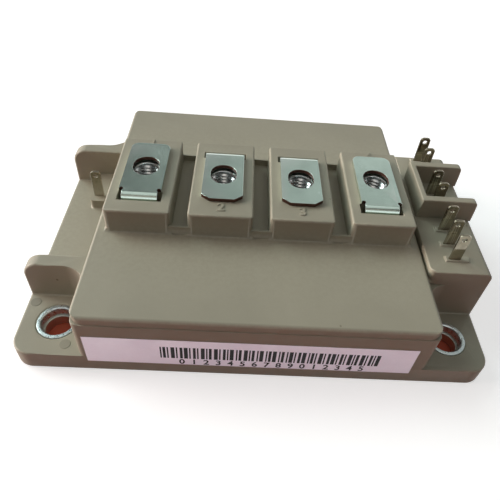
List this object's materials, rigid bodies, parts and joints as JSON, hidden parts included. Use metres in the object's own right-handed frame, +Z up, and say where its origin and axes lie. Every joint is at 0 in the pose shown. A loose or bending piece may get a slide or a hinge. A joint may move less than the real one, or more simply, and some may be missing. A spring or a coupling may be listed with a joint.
{
  "type": "igbt power module",
  "caption": "Power semiconductor module: moulded case on a copper baseplate, screw terminals on raised towers, blade signal pins and metal-bushed mounting ears.",
  "frame": {"origin": "centre of the mounting face, midway between the four mounting holes", "axes": "+X along the length toward the row of seven pins, +Y to the back, +Z up through the terminals"},
  "size_m": [0.11, 0.0801, 0.0291],
  "materials": {
    "case_plastic": "fine matt moulding, warm grey",
    "plated_copper": "dull nickel plate on copper",
    "nickel_plate": "satin nickel plate with raw copper cut edges",
    "zinc_plate": "bright zinc plate",
    "nut_steel": "bright plated steel",
    "pin_metal": "dull plated brass",
    "label_stock": "satin film, pale lilac white",
    "bare_copper": "bare copper",
    "white_ceramic": "matt white ceramic",
    "silicon": "dark metallised chip",
    "sensor_body": "black",
    "wire_aluminium": "bright drawn wire",
    "gel": "clear soft silicone"
  },
  "bodies": {
    "root": {"baseplate": "plated_copper", "case_frame": "case_plastic", "lid": "case_plastic", "label": "label_stock", "bush_front_left": "zinc_plate", "ceramic_front_left": "white_ceramic", "bush_front_right": "zinc_plate", "ceramic_front_right": "white_ceramic", "bush_rear_left": "zinc_plate", "ceramic_rear_left": "white_ceramic", "bush_rear_right": "zinc_plate", "ceramic_rear_right": "white_ceramic", "terminal_1": "nickel_plate", "nut_1": "nut_steel", "terminal_2": "nickel_plate", "nut_2": "nut_steel", "terminal_3": "nickel_plate", "nut_3": "nut_steel", "terminal_4": "nickel_plate", "nut_4": "nut_steel", "signal_pin_1": "pin_metal", "signal_pin_2": "pin_metal", "signal_pin_3": "pin_metal", "signal_pin_4": "pin_metal", "signal_pin_5": "pin_metal", "signal_pin_6": "pin_metal", "signal_pin_7": "pin_metal", "signal_pin_8": "pin_metal", "base_copper": "bare_copper", "copper_tracks": "bare_copper", "switch_chips": "silicon", "diode_chips": "silicon", "temperature_sensor": "sensor_body", "bond_wires": "wire_aluminium", "silicone_gel": "gel"}
  },
  "joints": []
}
